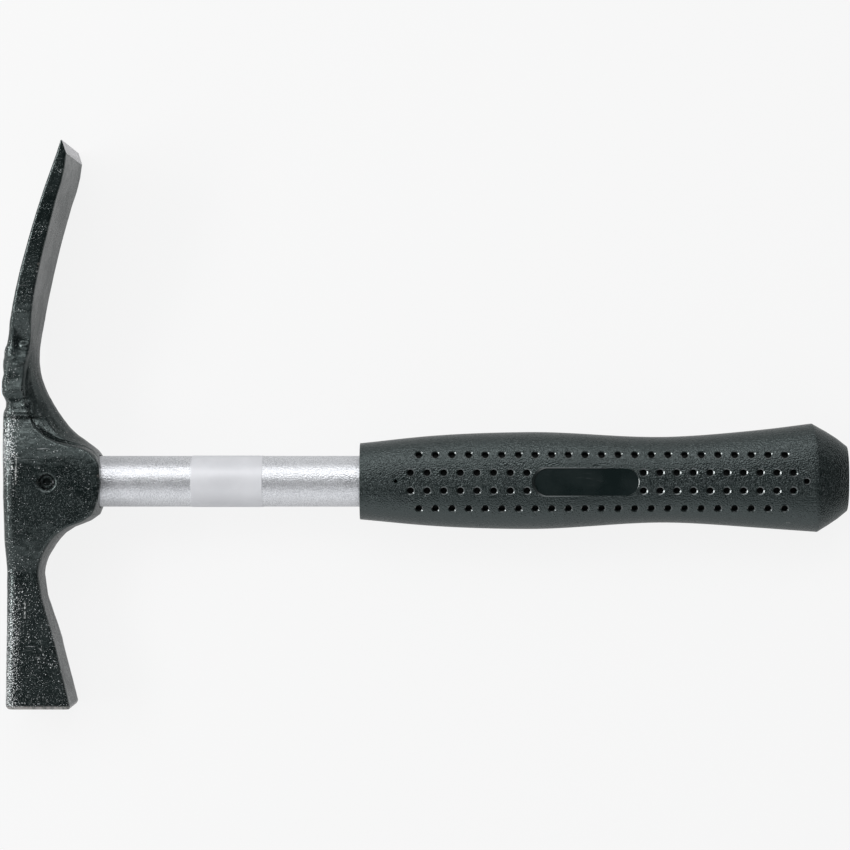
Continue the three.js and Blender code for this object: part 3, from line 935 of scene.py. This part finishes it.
def ground_steel():
    """The bare bevel: bright steel with grinding lines across the blade."""
    made, tree, shader = material("ground_steel")
    place = put(tree, "ShaderNodeTexCoord").outputs["Object"]
    along = put(tree, "ShaderNodeMapping", {"Vector": place, "Scale": (1, 14, 1)}).outputs[0]
    lines = noise(tree, along, 260.0, 4.0, 0.6)
    cloud = use(tree, CLOUDING, {"Scale": 160.0})["Value"]
    colour = mix_colour(tree, lines, (0.92, 0.91, 0.93, 1), (0.98, 0.975, 0.985, 1))
    feed(tree, shader, Base_Color=colour, Metallic=mix_value(tree, cloud, 0.1, 0.22),
         Roughness=mix_value(tree, lines, 0.38, 0.55), Normal=bump(tree, lines, 0.03))
    return made


def zinc_tube():
    """Satin zinc on the tube: fine spangle, lengthways streaks and a few dull marks."""
    made, tree, shader = material("satin_zinc")
    place = put(tree, "ShaderNodeTexCoord").outputs["Object"]
    spangle = use(tree, GRIT, {"Scale": 2700.0})["Value"]
    cloud = use(tree, CLOUDING, {"Scale": 45.0})["Value"]
    scuffs = use(tree, SCUFFS, {"Scale": 150.0, "Turn": 0.0, "Low": 0.66})["Mask"]
    long = put(tree, "ShaderNodeMapping", {"Vector": place, "Scale": (0.12, 1, 1)}).outputs[0]
    streaks = noise(tree, long, 900.0, 3.0, 0.6)
    colour = mix_colour(tree, cloud, (0.61, 0.62, 0.64, 1), (0.67, 0.68, 0.70, 1))
    colour = mix_colour(tree, ramp(tree, spangle, 0.35, 0.65), colour, (0.89, 0.90, 0.925, 1))
    dull = mix_colour(tree, scuffs, colour, (0.6, 0.605, 0.63, 1))
    rough = mix_value(tree, cloud, 0.34, 0.4)
    normal = bump(tree, spangle, 0.12, under=bump(tree, streaks, 0.02))
    feed(tree, shader, Base_Color=dull, Metallic=0.82, Roughness=rough, Normal=normal)
    return made


def grip_rubber():
    """Soft black plastic: fine moulded grain, a grey bloom and slight rubbing."""
    made, tree, shader = material("soft_black_grip")
    place = put(tree, "ShaderNodeTexCoord").outputs["Object"]
    grain = use(tree, GRAIN, {"Scale": 2400.0, "Speck": 0.6})
    cloud = use(tree, CLOUDING, {"Scale": 38.0})["Value"]
    scuffs = use(tree, SCUFFS, {"Scale": 110.0, "Turn": 0.5, "Low": 0.68})["Mask"]
    black = mix_colour(tree, cloud, (0.0028, 0.0064, 0.0062, 1), (0.006, 0.0112, 0.011, 1))
    specked = mix_colour(tree, grain["Specks"], black, (0.035, 0.045, 0.044, 1))
    rubbed = mix_colour(tree, scuffs, specked, (0.045, 0.05, 0.05, 1))
    grit = use(tree, GRIT, {"Scale": 2200.0})["Value"]
    normal = bump(tree, grit, 0.25, under=bump(tree, noise(tree, place, 300.0, 2.0), 0.05))
    feed(tree, shader, Base_Color=rubbed, Roughness=mix_value(tree, cloud, 0.23, 0.29), Normal=normal,
         Specular_IOR_Level=0.95, Specular_Tint=(0.87, 1, 0.99, 1))
    return made


def polished_recess():
    """The oval field: the same plastic, from a polished part of the mould."""
    made, tree, shader = material("polished_recess")
    cloud = use(tree, CLOUDING, {"Scale": 80.0})["Value"]
    scuffs = use(tree, SCUFFS, {"Scale": 160.0, "Turn": 0.2, "Low": 0.66})["Mask"]
    black = mix_colour(tree, cloud, (0.004, 0.009, 0.009, 1), (0.007, 0.0125, 0.0125, 1))
    rubbed = mix_colour(tree, scuffs, black, (0.05, 0.055, 0.055, 1))
    feed(tree, shader, Base_Color=rubbed, Roughness=mix_value(tree, cloud, 0.24, 0.34),
         Specular_Tint=(0.87, 1, 0.99, 1))
    return made


def dimple_lip():
    """The lips of the dimples and of the oval field: the same plastic, rubbed smooth."""
    made, tree, shader = material("dimple_lip")
    cloud = use(tree, CLOUDING, {"Scale": 300.0})["Value"]
    colour = mix_colour(tree, cloud, (0.004, 0.008, 0.008, 1), (0.009, 0.015, 0.0147, 1))
    feed(tree, shader, Base_Color=colour, Roughness=mix_value(tree, cloud, 0.12, 0.22),
         Specular_IOR_Level=1.0, Specular_Tint=(0.9, 1, 0.99, 1), Coat_Weight=1.0, Coat_Roughness=0.1)
    return made


def dimple_wall_shade():
    """The dimples' depths: the same plastic, matt, and painted darker than the skin as shade."""
    made, tree, shader = material("dimple_wall_shade")
    cloud = use(tree, CLOUDING, {"Scale": 300.0})["Value"]
    # Painted shade: the depths are coloured darker than the skin's black.
    colour = mix_colour(tree, cloud, (0.001, 0.002, 0.002, 1), (0.002, 0.004, 0.004, 1))
    feed(tree, shader, Base_Color=colour, Roughness=mix_value(tree, cloud, 0.6, 0.75),
         Specular_IOR_Level=0.25)
    return made


def label_film():
    """Blank silver-white film, with a faint grain."""
    made, tree, shader = material("label_film")
    grain = use(tree, GRAIN, {"Scale": 1800.0, "Speck": 0.66})
    cloud = use(tree, CLOUDING, {"Scale": 70.0})["Value"]
    colour = mix_colour(tree, cloud, (0.76, 0.765, 0.79, 1), (0.82, 0.825, 0.85, 1))
    colour = mix_colour(tree, grain["Specks"], colour, (0.86, 0.86, 0.88, 1))
    feed(tree, shader, Base_Color=colour, Metallic=0.1, Roughness=mix_value(tree, cloud, 0.36, 0.46),
         Normal=bump(tree, grain["Height"], 0.02))
    return made


def hidden_plastic():
    """The cap in the tube's rear end: plain moulded plastic."""
    made, tree, shader = material("cap_plastic")
    grain = use(tree, GRAIN, {"Scale": 900.0, "Speck": 0.66})
    colour = mix_colour(tree, grain["Specks"], (0.022, 0.022, 0.022, 1), (0.04, 0.04, 0.04, 1))
    feed(tree, shader, Base_Color=colour, Roughness=0.5, Normal=bump(tree, grain["Height"], 0.04))
    return made


# ---------------------------------------------------------------- room, light and camera

# How much of the floor is plain white light, as the camera and as mirrors see it
FLOOR_WHITE_SEEN = 0.86
FLOOR_WHITE_MIRRORED = 0.35

CAMERA_PLACE = (0.1566, 0.0211, 0.9375)  # in the hammer's own frame, in metres
CAMERA_LENS = 105.9
CAMERA_SENSOR = 36


def floor():
    """A wide pale floor. It looks white, and keeps the hammer's shadow."""
    bpy.ops.mesh.primitive_plane_add(size=8)
    plane = bpy.context.object
    plane.name = "floor"
    made, tree, shader = material("pale_floor")
    feed(tree, shader, Base_Color=(0.6, 0.6, 0.6, 1), Roughness=0.9)
    path = put(tree, "ShaderNodeLightPath").outputs
    mirrored = maths(tree, "MAXIMUM", path["Is Glossy Ray"], path["Is Transmission Ray"])
    share = maths(tree, "ADD", maths(tree, "MULTIPLY", path["Is Camera Ray"], FLOOR_WHITE_SEEN),
                  maths(tree, "MULTIPLY", mirrored, FLOOR_WHITE_MIRRORED))
    white = put(tree, "ShaderNodeEmission", {"Color": (1, 1, 1, 1), "Strength": 1.0}).outputs[0]
    both = put(tree, "ShaderNodeMixShader", {0: share, 1: shader.outputs[0], 2: white}).outputs[0]
    tree.links.new(both, tree.nodes["Material Output"].inputs["Surface"])
    plane.data.materials.append(made)


def world():
    """Studio walls: dark behind the camera, pale at the blade's side and the poll's, dim past the butt."""
    sky = bpy.data.worlds.new("studio")
    bpy.context.scene.world = sky
    sky.use_nodes = True
    tree = sky.node_tree
    base = tree.nodes["Background"]
    way = put(tree, "ShaderNodeTexCoord").outputs["Generated"]
    ways = put(tree, "ShaderNodeSeparateXYZ", {0: way}).outputs
    blade_side = ramp(tree, ways["Y"], 0.14, 0.38, 0.0, 0.95)
    blade_side = maths(tree, "MULTIPLY", blade_side, ramp(tree, ways["Z"], 0.12, 0.5, 0.25, 1.0))
    poll_side = ramp(tree, ways["Y"], -0.34, -0.66, 0.0, 0.86)
    head_side = ramp(tree, ways["X"], -0.3, -0.8, 0.0, 0.6)
    walls = maths(tree, "MAXIMUM", maths(tree, "MAXIMUM", blade_side, poll_side), head_side)
    past_butt = ramp(tree, ways["X"], 0.35, 0.75, 1.0, 0.1)
    lit = maths(tree, "MULTIPLY", walls, past_butt)
    glow = maths(tree, "ADD", lit, 0.06)
    tree.links.new(glow, base.inputs["Strength"])
    base.inputs["Color"].default_value = (0.97, 0.98, 1.0, 1)
    white = put(tree, "ShaderNodeBackground", {"Color": (1, 1, 1, 1), "Strength": 1.0}).outputs[0]
    path = put(tree, "ShaderNodeLightPath").outputs
    inputs = {0: path["Is Camera Ray"], 1: base.outputs[0], 2: white}
    both = put(tree, "ShaderNodeMixShader", inputs).outputs[0]
    tree.links.new(both, tree.nodes["World Output"].inputs["Surface"])


def softbox(name, place, aim, size, power):
    """A soft lamp; place and aim are in the hammer's own frame, in metres."""
    lamp = bpy.data.lights.new(name, "AREA")
    lamp.shape = "RECTANGLE"
    lamp.size, lamp.size_y = size
    lamp.energy = power
    piece = bpy.data.objects.new(name, lamp)
    bpy.context.scene.collection.objects.link(piece)
    place, aim = POSE @ Vector(place), POSE @ Vector(aim)
    piece.location = place
    piece.rotation_euler = (aim - place).to_track_quat("-Z", "Y").to_euler()


def camera():
    """Square to the hammer's middle plane."""
    lens = bpy.data.cameras.new("camera")
    lens.lens = CAMERA_LENS
    lens.sensor_width = CAMERA_SENSOR
    piece = bpy.data.objects.new("camera", lens)
    bpy.context.scene.collection.objects.link(piece)
    piece.matrix_world = POSE @ Matrix.Translation(CAMERA_PLACE)
    bpy.context.scene.camera = piece


# ---------------------------------------------------------------- the scene

camera()
head_lacquer = lacquer("forged_lacquer")
hammer_head(head_lacquer, ground_steel())
handle_tube(zinc_tube())
pin_lacquer = lacquer("pin_lacquer")
spring_pin(pin_lacquer)
tube_plug(pin_lacquer)
soft_grip(grip_rubber(), polished_recess(), dimple_lip(), dimple_wall_shade())
film_label(label_film())

end_cap = frame["nodes"]["tube_end_plug"]
end_cap.data.materials.clear()
end_cap.data.materials.append(hidden_plastic())

floor()
world()
softbox("left_box", (-0.66, 0.1, 0.5), (0.0, 0, 0), (0.75, 0.17), 3.7)
softbox("top_box", (0.05, 0.74, 0.8), (0.15, 0, 0), (1.1, 0.4), 2.4)

bpy.context.scene.view_settings.view_transform = "Standard"
